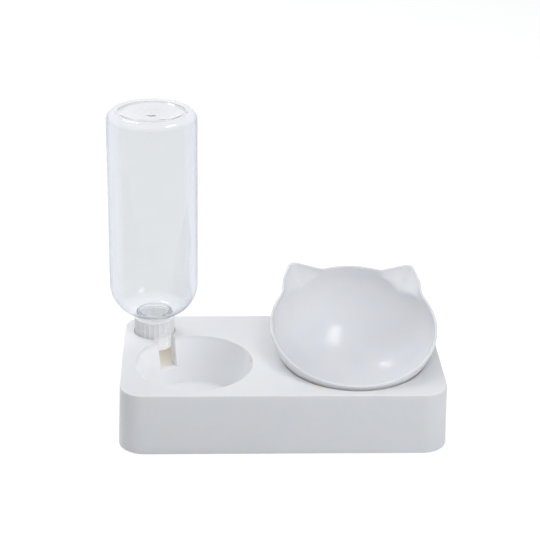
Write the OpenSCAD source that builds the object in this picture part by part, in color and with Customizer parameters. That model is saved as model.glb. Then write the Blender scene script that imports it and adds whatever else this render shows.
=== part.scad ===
// Double pet bowl: a white base with a sunk water bowl, a bottle that refills it through a
// spring valve, and a loose food bowl with two ears that leans forward in its well.
// Millimetres, +Z up, front towards -Y. The origin is under the middle of the whole object's
// box, on the surface that the feet stand on.

/* [Base] */
// Width of the deck, side to side
deck_w = 300; // [296:1:330]
// Depth of the deck, front to back
deck_d = 164; // [164:1:190]
// Height of the base walls, bottom edge to deck
wall_h = 59; // [57:1:66]
// Radius of the deck's corners in plan
corner_r = 23; // [18:0.5:27]
// How far each wall leans out on its way down
wall_flare = 1.9; // [0.5:0.1:3]
// Thickness of the moulding
wall = 2.6; // [2.2:0.1:3]
// Rounding of the deck's outer edge
deck_edge_r = 1.1; // [0.4:0.1:1.6]

/* [Feet] */
// Radius of each foot pad
foot_r = 7; // [5:0.5:9]
// How far the pads stand out below the base
foot_proud = 1.2; // [0.8:0.1:2]
// How deep the pads are let into their seats
foot_sunk = 1.2; // [0.8:0.1:1.6]
// Thickness of the web above each pad
foot_seat_t = 2.4; // [1.6:0.1:3.5]
// Gap round a pad in its seat
foot_gap = 0.15; // [0.1:0.05:0.4]

/* [Water bowl] */
// Radius of the water bowl at the deck
water_r = 55; // [50:0.5:56]
// Depth of the water bowl
water_depth = 47; // [38:1:48]
// Lean of the water bowl's wall in degrees
water_draft = 10.5; // [6:0.5:12]
// Fillet between the wall and the floor
water_fillet = 2.5; // [2:0.5:8]
// Deck left between the water bowl and the left edge
water_side_rim = 12.8; // [10:0.2:15]
// Deck left between the water bowl and the front edge
water_front_rim = 10.6; // [8:0.2:14]
// Rounding of the edges where bowls and wells meet the deck
rim_round = 0.8; // [0.4:0.1:1.6]

/* [Bottle niche] */
// Direction of the niche from the water bowl, degrees from +X
niche_dir = 120; // [112:1:124]
// Wall between the niche and the water bowl at the deck
niche_wall = 2.9; // [2.2:0.1:4]
// Depth of the niche
niche_depth = 30; // [28:0.5:32]
// Rounding of the niche's edge at the deck
niche_edge_r = 0.6; // [0.3:0.1:1]
// Width of the slot that lets water into the water bowl
slot_w = 18.4; // [12:0.2:19]
// Width of the ledge that carries the cap
ledge_w = 4.5; // [3:0.1:6]
// Height of the ledge above the niche floor
ledge_h = 16; // [14:0.5:18]
// First end of the ledge, degrees from +X
ledge_from = 80; // [74:1:84]
// Angle that the ledge covers
ledge_span = 190; // [184:1:194]
// Radius of the pin that lifts the valve
pin_r = 2; // [1.5:0.1:2.5]

/* [Food bowl] */
// Radius of the food bowl's rim
bowl_r = 79; // [77:0.2:80]
// Depth of the food bowl from rim to foot
bowl_depth = 56; // [52:0.5:58]
// Wall of the food bowl
bowl_wall = 2.4; // [2:0.1:3]
// Lean of the food bowl towards the front in degrees
bowl_tilt = 20; // [16:0.5:22]
// Fullness of the bowl's section, where 2 is an ellipse
bowl_fullness = 1.9; // [1.8:0.02:1.96]
// Turn of the loose bowl in its seat in degrees, as it was set down
bowl_turn = -1.7; // [-3:0.1:3]
// Height of the front rim above the deck
bowl_front_lift = 3.8; // [3:0.2:8]
// Outer radius of the foot ring
bowl_foot_r = 30; // [26:0.5:33]
// Width of the foot ring
bowl_foot_w = 2.6; // [2:0.1:4]
// Height that the foot ring stands below the bowl's bottom
bowl_foot_h = 1.5; // [1:0.1:2.5]
// Reach of each ear tip from the bowl's axis
ear_reach = 100.5; // [96:0.5:104]
// Angle between an ear tip and the back of the bowl
ear_angle = 36.3; // [34:0.1:40]
// Angle where an ear starts on the side of the back
ear_inner_angle = 23; // [21:0.5:26]
// Angle where an ear ends on the bowl's flank
ear_outer_angle = 57.5; // [54:0.5:60]
// How far the outer side of each ear bows out
ear_bow = 2.2; // [1:0.1:2.8]
// Rounding of the ear tips
ear_round = 7; // [5:0.1:8]
// Depth of the pocket inside each ear
ear_depth = 8.5; // [7:0.5:12]
// Angle between the pocket's deepest point and the back of the bowl
ear_low_angle = 40.5; // [38:0.5:43]

/* [Food bowl well] */
// Gap between the bowl and the well at deck level
well_gap = 0.8; // [0.6:0.1:2.5]
// How far the well's middle lies behind the middle of the bowl's sunk part
well_set_back = 2.5; // [0:0.1:4]
// Deck left between the well and the right edge
well_side_rim = 14.6; // [12:0.2:16]
// Deck left between the well and the front edge
well_front_rim = 9; // [8:0.2:12]
// Gap round the foot ring in its seat
seat_gap = 0.4; // [0.3:0.1:1]
// Height of the lip that keeps the foot ring in place
seat_lip_h = 2.4; // [1.5:0.1:3]
// Width of that lip
seat_lip_w = 2.4; // [1.8:0.1:3.5]
// Step from the seat's low side down to the well floor
seat_step = 1.5; // [1:0.1:3]

/* [Bottle] */
// Radius of the bottle
bottle_r = 42.3; // [38:0.1:44]
// Length of the bottle from mouth to base
bottle_h = 234; // [180:1:260]
// Wall of the bottle
bottle_wall = 1; // [0.8:0.05:1.4]
// Radius of the shoulder curve
shoulder_r = 31; // [25:0.5:36]
// Outer radius of the neck
neck_r = 16; // [15.4:0.1:16.2]
// Wall of the neck
neck_wall = 1.9; // [1.6:0.1:2.2]
// Length of the neck from mouth to shoulder
neck_h = 29; // [28.5:0.5:34]
// Rounding of the bottle's base edge
base_edge_r = 8.5; // [4:0.5:9]
// Depth of the recess in the bottle's base
punt_depth = 4; // [3:0.5:8]
// Radius of the moulding nub in the middle of the base
nub_r = 4; // [2:0.1:5]
// Height of that nub
nub_h = 0.8; // [0.5:0.1:1.5]
// Radius of the ring on the neck above the cap
neck_ring_r = 17.9; // [17:0.1:19]
// Thickness of that ring
neck_ring_t = 1.6; // [1.2:0.1:2.2]
// Height of that ring above the cap
neck_ring_gap = 1.6; // [1:0.1:2.2]

/* [Thread] */
// Rise of the thread in one turn
thread_pitch = 4; // [3.8:0.1:5]
// Height of each thread from its wall
thread_h = 1.2; // [1:0.05:1.3]
// Width of a thread at its root
thread_root_w = 1.6; // [1.2:0.1:1.7]
// Width of a thread at its crest
thread_crest_w = 0.8; // [0.5:0.1:1.1]
// Turns of each thread
thread_turns = 1; // [0.75:0.25:1.25]
// Direction in which the threads start, degrees from +X
thread_start = 25; // [10:5:70]
// Distance from the bottle's mouth to its thread
thread_from_mouth = 5; // [4:0.5:7]

/* [Cap] */
// Radius of the cap over its ribs
cap_r = 19.4; // [19.2:0.1:20.5]
// Height of the cap
cap_h = 30; // [27:0.5:32]
// Gap between the cap and the niche wall
cap_gap = 0.6; // [0.4:0.1:1.2]
// Thickness of the cap's end wall
cap_floor_t = 3; // [2.4:0.1:3.6]
// Radius inside the cap's skirt
cap_bore_r = 17.6; // [17.6:0.05:17.8]
// Number of grip ribs
rib_count = 24; // [18:1:28]
// Radius of each grip rib
rib_r = 1.5; // [1.2:0.1:1.7]
// How far the ribs stand out of the skirt
rib_proud = 0.8; // [0.5:0.05:0.9]
// Height of the plain band above the ribs
cap_band_h = 1.8; // [1:0.1:3]
// How far the ribs stay inside that band
rib_inset = 0.25; // [0.1:0.05:0.3]

/* [Valve] */
// Radius of the outlet in the cap
outlet_r = 4.5; // [4:0.1:5]
// How far the pin holds the valve open
valve_lift = 3; // [2:0.1:4]
// Distance that the closed plunger's end stays inside the outlet
stem_recess = 1; // [0.5:0.1:1.5]
// Radius of the plunger's stem
stem_r = 2; // [1.6:0.1:2.4]
// Gap between the plunger's fins and the outlet
fin_gap = 0.3; // [0.2:0.05:0.5]
// Thickness of the fins
fin_t = 1; // [0.8:0.1:1.4]
// Radius of the plunger's head
head_r = 6.6; // [6.2:0.1:7]
// Thickness of the plunger's head
head_t = 1.6; // [1.2:0.1:2]
// Thickness of the washer
washer_t = 1.6; // [1:0.1:2]
// Gap between the washer and the stem
washer_gap = 0.1; // [0.05:0.05:0.2]
// Radius of the rod above the plunger's head
rod_r = 1.5; // [1.2:0.1:1.8]
// Running gap of that rod in the retainer
rod_gap = 0.08; // [0.05:0.01:0.1]
// Inner radius of the valve cage
cage_r = 8; // [7.6:0.1:8.6]
// Wall of the valve cage
cage_wall = 1.4; // [1.2:0.1:1.6]
// Number of windows in the valve cage
cage_windows = 4; // [3:1:5]
// Width of each window
window_w = 6; // [4:0.5:7]
// Height of each window
window_h = 6.4; // [4:0.2:7]
// Distance from the cap's floor to the windows
window_from_floor = 1.2; // [0.8:0.1:2]
// Thickness of the retainer
retainer_t = 2; // [1.6:0.1:2.6]
// Depth of the step that the retainer lies on
retainer_step = 0.5; // [0.3:0.1:0.7]
// Gap round the retainer
retainer_gap = 0.05; // [0.03:0.01:0.1]
// Height of the guide boss on the retainer
guide_h = 3; // [2:0.5:4]
// Wall of the guide boss
guide_wall = 1.4; // [1:0.1:1.8]

/* [Spring] */
// Length of the spring between plunger and retainer
spring_len = 6.4; // [5.8:0.1:8]
// Wire of the spring
spring_wire = 0.6; // [0.4:0.05:0.7]
// Radius to the middle of the wire
spring_r = 4.2; // [3.6:0.1:5]
// Number of curls
spring_curls = 4; // [3:1:5]

/* [Neck seal] */
// Thickness of the seal in the cap
seal_t = 2; // [1.4:0.1:2.6]
// Width of the seal
seal_w = 3.6; // [3:0.1:4.5]
// Gap between the seal and the cap's skirt
seal_gap = 0.3; // [0.2:0.05:0.5]

/* [Hidden] */
$fn = 96;

// One overrun serves every cut
over = 1;
// Two solids that are joined share this much
bite = 0.4;
arc_steps = 6;
profile_steps = 22;

// Heights
base_z = foot_proud;
deck_z = base_z + wall_h;
water_floor_z = deck_z - water_depth;
niche_floor_z = deck_z - niche_depth;
cap_z = niche_floor_z + ledge_h;
cap_floor_z = cap_z + cap_floor_t;
mouth_z = cap_floor_z + seal_t;
cap_top_z = cap_z + cap_h;
bottle_top_z = mouth_z + bottle_h;

// Water bowl and niche
water_x = water_side_rim + water_r - deck_w / 2;
water_y = water_front_rim + water_r - deck_d / 2;
niche_r = cap_r + cap_gap;
niche_reach = water_r + niche_wall + niche_r;
niche_x = water_x + niche_reach * cos(niche_dir);
niche_y = water_y + niche_reach * sin(niche_dir);

// Food bowl. Its body is a superellipse: radius and depth follow one angle
bowl_body_depth = bowl_depth - bowl_foot_h;
bowl_power = 2 / bowl_fullness;
bowl_rim_z = deck_z + bowl_front_lift + bowl_r * sin(bowl_tilt);
function bowl_point(a, shell) = [
    (bowl_r - shell) * pow(cos(a), bowl_power),
    -bowl_wall / 2 - (bowl_body_depth - shell - bowl_wall / 2) * pow(sin(a), bowl_power)];

// The bowl's outside below the deck, seen from above, sets the well's middle and radius
function tilted_y(p, s) = p.x * cos(s) * cos(bowl_tilt) + p.y * -sin(bowl_tilt);
function tilted_z(p, s) = p.x * cos(s) * sin(bowl_tilt) + p.y * cos(bowl_tilt);
sunk_points = [
    for (a = [0:2:88], s = [0:5:180])
        let (p = bowl_point(a, 0))
            if (bowl_rim_z + tilted_z(p, s) < deck_z) [p.x * sin(s), tilted_y(p, s)]];
sunk_y = [for (p = sunk_points) p.y];
well_offset_y = (max(sunk_y) + min(sunk_y)) / 2 + well_set_back;
well_r = max([for (p = sunk_points) norm([p.x, p.y - well_offset_y])]) + well_gap;
well_x = deck_w / 2 - well_side_rim - well_r;
well_y = well_front_rim + well_r - deck_d / 2;
bowl_x = well_x;
bowl_y = well_y - well_offset_y;

// Seat of the food bowl
seat_r = bowl_foot_r + seat_gap + seat_lip_w;
seat_low_z = bowl_rim_z - bowl_depth * cos(bowl_tilt) - seat_r * sin(bowl_tilt);
well_floor_z = seat_low_z - seat_step;
ear_tip_y = bowl_y + ear_reach * cos(ear_angle) * cos(bowl_tilt);

// Valve
washer_z = cap_floor_z + valve_lift;
stem_end_z = cap_z + stem_recess + valve_lift;
head_z = washer_z + washer_t;
head_top_z = head_z + head_t;
retainer_z = head_top_z + spring_len;
rod_top_z = retainer_z + retainer_t + valve_lift + over;
cage_top_z = retainer_z + retainer_t;

// The middle of the whole object's box in plan
x_low = min(-deck_w / 2 - wall_flare, niche_x - bottle_r);
x_high = max(deck_w / 2 + wall_flare, bowl_x + bowl_r);
y_low = min(-deck_d / 2 - wall_flare, bowl_y - bowl_r * cos(bowl_tilt));
y_high = max(deck_d / 2 + wall_flare, niche_y + bottle_r, ear_tip_y);
module placed() {
    translate([-(x_low + x_high) / 2, -(y_low + y_high) / 2, 0]) children();
}

// Points on an arc about a centre
function arc(centre, r, from, to, steps = arc_steps) = [
    for (i = [0:steps]) let (a = from + (to - from) * i / steps)
        centre + r * [cos(a), sin(a)]];
function backwards(list) = [for (i = [len(list) - 1:-1:0]) list[i]];

// A block with leaning walls, round corners and a rounded upper edge. The same section is
// turned at each corner and drawn along each side.
module drafted_block(w, d, h, r, flare, edge) {
    side = concat([[r + flare, 0]], arc([r - edge, h - edge], edge, 0, 90), [[0, h]]);
    far_x = w / 2 - r;
    far_y = d / 2 - r;
    for (sx = [-1, 1], sy = [-1, 1])
        translate([sx * far_x, sy * far_y, 0])
            rotate_extrude() polygon(concat([[0, 0]], side));
    for (run = [[far_x, far_y, 90], [far_y, far_x, 0]]) {
        right = [for (p = side) [run.y + p.x, p.y]];
        left = [for (p = backwards(side)) [-run.y - p.x, p.y]];
        rotate([0, 0, run.z])
            translate([0, run.x, 0])
                rotate([90, 0, 0])
                    linear_extrude(height = 2 * run.x) polygon(concat(right, left));
    }
}

// The rounded edge where a round hollow meets the deck, and the cut above it
function rim_edge(r, round_r) = concat(
    arc([r + round_r, deck_z - round_r], round_r, 180, 90),
    [[r + round_r, deck_z + over], [0, deck_z + over]]);

// Half section of the water bowl below its edge, grown by a shell thickness
function water_side(shell) =
    let (middle_z = water_floor_z + water_fillet,
         joint_z = middle_z - water_fillet * sin(water_draft),
         rise = deck_z - rim_round - joint_z,
         middle_r = water_r - rise * tan(water_draft) - water_fillet * cos(water_draft))
        concat([[0, water_floor_z - shell]],
               arc([middle_r, middle_z], water_fillet + shell, -90, -water_draft));

module water_cup() {
    outer_r = water_r + wall / cos(water_draft);
    rotate_extrude()
        polygon(concat(water_side(wall), [[outer_r, deck_z - wall / 2], [0, deck_z - wall / 2]]));
}

// A straight round hollow with a rounded edge at the deck
module round_hollow(r, floor_z, round_r) {
    rotate_extrude() polygon(concat([[0, floor_z], [r, floor_z]], rim_edge(r, round_r)));
}

module round_void(x, y, r, from_z, to_z) {
    translate([x, y, from_z]) cylinder(r = r, h = to_z - from_z);
}

module slot_block(grow, from_z, to_z) {
    translate([niche_x, niche_y, from_z])
        rotate([0, 0, niche_dir + 180])
            translate([0, -slot_w / 2 - grow, 0])
                cube([niche_reach - water_r / 2, slot_w + 2 * grow, to_z - from_z]);
}

// In the food bowl's own frame the rim plane is z = 0
module in_bowl_frame() {
    translate([bowl_x, bowl_y, bowl_rim_z]) rotate([bowl_tilt, 0, 0]) children();
}

module foot_place(side) {
    translate([side.x * (deck_w / 2 - corner_r), side.y * (deck_d / 2 - corner_r), 0])
        children();
}
foot_sides = [[-1, -1], [1, -1], [-1, 1], [1, 1]];

module base_walls() {
    difference() {
        translate([0, 0, base_z])
            drafted_block(deck_w, deck_d, wall_h, corner_r, wall_flare, deck_edge_r);
        translate([0, 0, base_z - over])
            drafted_block(deck_w - 2 * wall, deck_d - 2 * wall, wall_h + over - wall,
                          corner_r - wall, wall_flare, deck_edge_r);
    }
    for (side = foot_sides)
        foot_place(side)
            translate([0, 0, base_z]) cylinder(r = corner_r, h = foot_sunk + foot_seat_t);
}

module base_cups() {
    translate([water_x, water_y, 0]) water_cup();
    round_void(niche_x, niche_y, niche_r + wall, niche_floor_z - wall, deck_z - wall / 2);
    slot_block(wall, niche_floor_z - wall, deck_z - wall / 2);
    round_void(well_x, well_y, well_r + wall, well_floor_z - wall, deck_z - wall / 2);
}

module base_voids() {
    translate([water_x, water_y, 0])
        rotate_extrude() polygon(concat(water_side(0), rim_edge(water_r, rim_round)));
    translate([niche_x, niche_y, 0]) round_hollow(niche_r, niche_floor_z, niche_edge_r);
    slot_block(0, niche_floor_z, deck_z + over);
    translate([well_x, well_y, 0]) round_hollow(well_r, well_floor_z, rim_round);
    for (side = foot_sides)
        foot_place(side)
            translate([0, 0, base_z - over])
                cylinder(r = foot_r + foot_gap, h = foot_sunk + over);
}

// Sloped seat with a lip round the bowl's foot ring, hollow from below
module bowl_seat() {
    long = bowl_depth + seat_r;
    difference() {
        intersection() {
            in_bowl_frame()
                translate([0, 0, -bowl_depth - long])
                    cylinder(r = seat_r, h = long + seat_lip_h);
            translate([bowl_x - well_r, bowl_y - well_r, well_floor_z - wall / 2])
                cube([2 * well_r, 2 * well_r, wall_h]);
        }
        in_bowl_frame()
            translate([0, 0, -bowl_depth])
                cylinder(r = bowl_foot_r + seat_gap, h = seat_lip_h + over);
    }
}

module seat_core() {
    long = bowl_depth + seat_r;
    in_bowl_frame()
        translate([0, 0, -bowl_depth - wall - long]) cylinder(r = seat_r - wall, h = long);
}

module niche_inside() {
    translate([niche_x, niche_y, 0]) {
        rotate([0, 0, ledge_from])
            translate([0, 0, niche_floor_z - bite])
                rotate_extrude(angle = ledge_span)
                    translate([niche_r - ledge_w, 0])
                        square([ledge_w + bite, ledge_h + bite]);
        translate([0, 0, niche_floor_z - bite])
            cylinder(r = pin_r, h = stem_end_z - niche_floor_z + bite);
    }
}

module base_shell() {
    color([0.95, 0.95, 0.96]) placed() {
        difference() {
            union() {
                difference() {
                    union() {
                        base_walls();
                        base_cups();
                    }
                    base_voids();
                }
                bowl_seat();
            }
            seat_core();
        }
        niche_inside();
    }
}

module foot_pad(side) {
    color([0.8, 0.8, 0.8]) placed()
        foot_place(side) cylinder(r = foot_r, h = foot_proud + foot_sunk);
}
module foot_front_left() { foot_pad(foot_sides[0]); }
module foot_front_right() { foot_pad(foot_sides[1]); }
module foot_back_left() { foot_pad(foot_sides[2]); }
module foot_back_right() { foot_pad(foot_sides[3]); }

// Outside of the food bowl with its foot ring
module bowl_outside() {
    step = 90 / profile_steps;
    flank = [for (a = [0:step:90]) let (p = bowl_point(a, 0)) if (p.x > bowl_foot_r) p];
    foot_meets = acos(pow(bowl_foot_r / bowl_r, 1 / bowl_power));
    rotate_extrude()
        polygon(concat(
            [[0, 0]],
            arc([bowl_r - bowl_wall / 2, -bowl_wall / 2], bowl_wall / 2, 90, 0),
            flank,
            [bowl_point(foot_meets, 0)],
            [[bowl_foot_r, -bowl_depth], [bowl_foot_r - bowl_foot_w, -bowl_depth],
             [bowl_foot_r - bowl_foot_w, -bowl_body_depth], [0, -bowl_body_depth]]));
}

module bowl_inside() {
    step = 90 / profile_steps;
    rim = arc([bowl_r - bowl_wall / 2, -bowl_wall / 2], bowl_wall / 2, 90, 180);
    rotate_extrude()
        polygon(concat(
            [[0, over]],
            [[bowl_r - bowl_wall / 2, over]],
            rim,
            [for (a = [step:step:90]) bowl_point(a, bowl_wall)]));
}

// Each ear is a pocket: the hull of a tip, two ends on the rim, a point that bows its outer
// side and a low point in the wall
module ears(shell) {
    rotate([0, 0, bowl_turn])
        for (side = [-1, 1]) ear(side, ear_round - shell);
}

module ear(side, r) {
    low_r = (bowl_r - ear_round) * pow(1 - pow(ear_depth / bowl_body_depth, bowl_fullness),
                                       1 / bowl_fullness);
    bow_from = (ear_reach - ear_round) * [cos(ear_angle), sin(ear_angle)];
    bow_to = (bowl_r - ear_round) * [cos(ear_outer_angle), sin(ear_outer_angle)];
    bow_run = (bow_to - bow_from) / norm(bow_to - bow_from);
    bow = (bow_from + bow_to) / 2 + ear_bow * [bow_run.y, -bow_run.x];
    corners = [
        [ear_reach - ear_round, ear_angle, 0],
        [bowl_r - ear_round, ear_inner_angle, 0],
        [bowl_r - ear_round, ear_outer_angle, 0],
        [norm(bow), atan2(bow.y, bow.x), 0],
        [low_r, ear_low_angle, -ear_depth]];
    hull()
        for (c = corners)
            rotate([0, 0, 90 - side * c.y])
                translate([c.x, 0, c.z]) sphere(r = r, $fn = 24);
}

module food_bowl() {
    color([0.9, 0.92, 0.95]) placed() in_bowl_frame()
        difference() {
            union() {
                bowl_outside();
                ears(0);
            }
            bowl_inside();
            ears(bowl_wall);
            translate([-ear_reach, -ear_reach, 0])
                cube([2 * ear_reach, 2 * ear_reach, ear_round + over]);
        }
}

// A thread winds once round a wall. It stands out of the wall, or into the bore where the
// height is negative, and its root lies inside the wall.
module thread(r, h, from_z) {
    rings = round(36 * thread_turns);
    root = r - sign(h) * bite;
    section = [[root, -thread_root_w / 2], [r + h, -thread_crest_w / 2],
               [r + h, thread_crest_w / 2], [root, thread_root_w / 2]];
    sides = len(section);
    points = [
        for (i = [0:rings], p = section)
            let (turned = thread_turns * i / rings, a = thread_start + 360 * turned)
                [p.x * cos(a), p.x * sin(a), from_z + p.y + thread_pitch * turned]];
    walls = [
        for (i = [0:rings - 1], j = [0:sides - 1])
            let (k = (j + 1) % sides, low = i * sides, high = (i + 1) * sides)
                each [[low + j, low + k, high + k], [low + j, high + k, high + j]]];
    first_end = [for (j = [1:sides - 2]) [0, j + 1, j]];
    last_end = [for (j = [1:sides - 2]) rings * sides * [1, 1, 1] + [0, j, j + 1]];
    faces = concat(walls, first_end, last_end);
    polyhedron(points = points, faces = h > 0 ? faces : [for (f = faces) [f.x, f.z, f.y]]);
}

// Section of the bottle, outside first and then back along the inside
module bottle_section() {
    ring_z = cap_top_z + neck_ring_gap;
    shoulder_z = mouth_z + neck_h + shoulder_r;
    shoulder_x = bottle_r - shoulder_r;
    throat_a = acos((neck_r - shoulder_x) / shoulder_r);
    inner_shoulder_r = shoulder_r - bottle_wall;
    inner_neck_r = neck_r - neck_wall;
    inner_a = acos((inner_neck_r - shoulder_x) / inner_shoulder_r);
    foot_x = bottle_r - base_edge_r;
    foot_z = bottle_top_z - base_edge_r;
    punt_r = foot_x - bottle_wall;
    punt_z = bottle_top_z - punt_depth;
    outside = concat(
        [[neck_r, mouth_z], [neck_r, ring_z], [neck_ring_r, ring_z],
         [neck_ring_r, ring_z + neck_ring_t], [neck_r, ring_z + neck_ring_t]],
        arc([shoulder_x, shoulder_z], shoulder_r, -throat_a, 0, 12),
        arc([foot_x, foot_z], base_edge_r, 0, 90, 8),
        [[punt_r, bottle_top_z - bottle_wall], [punt_r - bottle_wall, punt_z + bottle_wall],
         [nub_r, punt_z], [nub_r, punt_z + nub_h], [0, punt_z + nub_h]]);
    inside = concat(
        [[0, punt_z - bottle_wall], [punt_r - bottle_wall, punt_z - bottle_wall]],
        [[punt_r, punt_z], [foot_x, foot_z + base_edge_r - 2 * bottle_wall]],
        arc([foot_x, foot_z], base_edge_r - bottle_wall, 60, 0, 4),
        arc([shoulder_x, shoulder_z], inner_shoulder_r, 0, -inner_a, 12),
        [[inner_neck_r, mouth_z]]);
    polygon(concat(outside, inside));
}

module bottle() {
    color([0.85, 0.9, 0.95, 0.4]) placed()
        translate([niche_x, niche_y, 0]) {
            rotate_extrude() bottle_section();
            thread(neck_r, thread_h, mouth_z + thread_from_mouth);
        }
}

module cap_body() {
    skirt_r = cap_r - rib_proud;
    difference() {
        union() {
            rotate_extrude()
                polygon([[0, cap_z], [skirt_r - rib_proud, cap_z], [skirt_r, cap_z + rib_proud],
                         [skirt_r, cap_top_z - cap_band_h], [cap_r, cap_top_z - cap_band_h],
                         [cap_r, cap_top_z - rib_proud / 2],
                         [cap_r - rib_proud / 2, cap_top_z], [0, cap_top_z]]);
            for (i = [0:rib_count - 1])
                rotate([0, 0, 360 * i / rib_count])
                    translate([cap_r - rib_inset - rib_r, 0, cap_z + rib_proud])
                        cylinder(r = rib_r, h = cap_h - cap_band_h - rib_proud + bite, $fn = 24);
        }
        round_void(0, 0, cap_bore_r, cap_floor_z, cap_top_z + over);
    }
}

module valve_cage() {
    difference() {
        round_void(0, 0, cage_r + cage_wall, cap_floor_z - bite, cage_top_z);
        round_void(0, 0, cage_r, cap_floor_z - over, cage_top_z + over);
        round_void(0, 0, cage_r + retainer_step, retainer_z, cage_top_z + over);
        for (i = [0:cage_windows - 1])
            rotate([0, 0, 360 * (i + 0.5) / cage_windows])
                translate([0, -window_w / 2, cap_floor_z + window_from_floor])
                    cube([cage_r + cage_wall + over, window_w, window_h]);
    }
}

module cap_shell() {
    color([0.96, 0.96, 0.97]) placed()
        translate([niche_x, niche_y, 0]) {
            difference() {
                union() {
                    cap_body();
                    valve_cage();
                }
                round_void(0, 0, outlet_r, cap_z - over, cap_floor_z + over);
            }
            thread(cap_bore_r, -thread_h, mouth_z + thread_from_mouth + thread_pitch / 2);
        }
}

module neck_seal() {
    outer_r = cap_bore_r - seal_gap;
    color([0.75, 0.78, 0.8]) placed()
        translate([niche_x, niche_y, 0])
            difference() {
                round_void(0, 0, outer_r, cap_floor_z, mouth_z);
                round_void(0, 0, outer_r - seal_w, cap_floor_z - over, mouth_z + over);
            }
}

module valve_stem() {
    fin_r = outlet_r - fin_gap;
    color([0.9, 0.9, 0.9]) placed()
        translate([niche_x, niche_y, 0]) {
            round_void(0, 0, stem_r, stem_end_z, head_z + bite);
            round_void(0, 0, head_r, head_z, head_top_z);
            round_void(0, 0, rod_r, head_top_z - bite, rod_top_z);
            for (turn = [0, 90])
                rotate([0, 0, turn])
                    translate([-fin_r, -fin_t / 2, stem_end_z])
                        cube([2 * fin_r, fin_t, washer_z - stem_end_z]);
        }
}

module valve_washer() {
    color([0.35, 0.35, 0.36]) placed()
        translate([niche_x, niche_y, 0])
            difference() {
                round_void(0, 0, head_r, washer_z, head_z);
                round_void(0, 0, stem_r + washer_gap, washer_z - over, head_z + over);
            }
}

// The spring is one unbroken tube of 6 sides with 8 rings in each curl
spring_sides = 6;
spring_rings = 8 * spring_curls;
spring_rise = spring_len - spring_wire;
spring_line = [
    for (i = [0:spring_rings])
        let (a = 360 * spring_curls * i / spring_rings)
            [spring_r * cos(a), spring_r * sin(a),
             head_top_z + spring_wire / 2 + spring_rise * i / spring_rings]];
spring_gap = min([
    for (i = [0:spring_rings - 4], j = [i + 4:spring_rings])
        norm(spring_line[i] - spring_line[j])]) - spring_wire;

module valve_spring() {
    echo(str("least gap between the spring's curls: ", spring_gap));
    points = [
        for (i = [0:spring_rings], j = [0:spring_sides - 1])
            let (a = 360 * spring_curls * i / spring_rings, t = 360 * j / spring_sides,
                 out = spring_wire / 2 * cos(t), up = spring_wire / 2 * sin(t))
                spring_line[i] + [out * cos(a), out * sin(a), up]];
    walls = [
        for (i = [0:spring_rings - 1], j = [0:spring_sides - 1])
            let (k = (j + 1) % spring_sides, low = i * spring_sides, high = low + spring_sides)
                each [[low + j, high + k, low + k], [low + j, high + j, high + k]]];
    first_end = [for (j = [1:spring_sides - 2]) [0, j, j + 1]];
    last_end = [
        for (j = [1:spring_sides - 2])
            spring_rings * spring_sides * [1, 1, 1] + [0, j + 1, j]];
    color([0.7, 0.7, 0.72]) placed()
        translate([niche_x, niche_y, 0])
            polyhedron(points = points, faces = concat(walls, first_end, last_end));
}

module spring_retainer() {
    hole_r = rod_r + rod_gap;
    color([0.93, 0.93, 0.93]) placed()
        translate([niche_x, niche_y, 0])
            difference() {
                union() {
                    round_void(0, 0, cage_r + retainer_step - retainer_gap, retainer_z,
                               retainer_z + retainer_t);
                    round_void(0, 0, hole_r + guide_wall, retainer_z + retainer_t - bite,
                               retainer_z + retainer_t + guide_h);
                }
                round_void(0, 0, hole_r, retainer_z - over, retainer_z + retainer_t + guide_h + over);
            }
}

base_shell();
foot_front_left();
foot_front_right();
foot_back_left();
foot_back_right();
food_bowl();
bottle();
cap_shell();
neck_seal();
valve_stem();
valve_washer();
valve_spring();
spring_retainer();
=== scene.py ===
import math
import bpy
import bmesh
import numpy as np
from mathutils import Matrix, Vector


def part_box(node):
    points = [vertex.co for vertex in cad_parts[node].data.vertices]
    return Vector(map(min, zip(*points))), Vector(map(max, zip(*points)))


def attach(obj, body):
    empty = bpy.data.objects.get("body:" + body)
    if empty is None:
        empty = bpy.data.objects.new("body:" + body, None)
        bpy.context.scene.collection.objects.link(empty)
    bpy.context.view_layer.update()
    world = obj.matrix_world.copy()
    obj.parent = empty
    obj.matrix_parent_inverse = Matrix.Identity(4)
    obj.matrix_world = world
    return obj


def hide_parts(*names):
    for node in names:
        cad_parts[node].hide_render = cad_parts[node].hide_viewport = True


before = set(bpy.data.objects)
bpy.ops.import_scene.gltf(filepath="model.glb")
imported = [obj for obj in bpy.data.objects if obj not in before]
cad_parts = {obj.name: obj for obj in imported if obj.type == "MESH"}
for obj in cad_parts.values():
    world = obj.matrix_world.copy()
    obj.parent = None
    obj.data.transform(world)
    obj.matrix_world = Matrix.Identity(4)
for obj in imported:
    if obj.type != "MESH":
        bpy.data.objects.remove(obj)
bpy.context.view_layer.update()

# Lengths are millimetres here and metres in Blender, and angles are degrees.
MM = 0.001
scene = bpy.context.scene


def box_mm(node):
    lo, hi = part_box(node)
    return np.array(lo) / MM, np.array(hi) / MM


# The pieces stand where their CAD nodes do
base_lo, base_hi = box_mm("base_shell")
cap_lo, cap_hi = box_mm("cap_shell")
bottle_lo, bottle_hi = box_mm("bottle")
BASE_X, BASE_Y = (base_lo[0] + base_hi[0]) / 2, (base_lo[1] + base_hi[1]) / 2
BASE_Z, DECK_Z = base_lo[2], base_hi[2]
NICHE_X, NICHE_Y = (cap_lo[0] + cap_hi[0]) / 2, (cap_lo[1] + cap_hi[1]) / 2
CAP_Z, CAP_TOP = cap_lo[2], cap_hi[2]
MOUTH_Z, BOTTLE_TOP = bottle_lo[2], bottle_hi[2]

# Joins and cuts
SINK = 0.4  # how far joined solids sink into each other
OVER = 1  # how far a tool passes a face that it cuts flush
CLEAR = 3  # how far a tool rises past an open end

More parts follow.
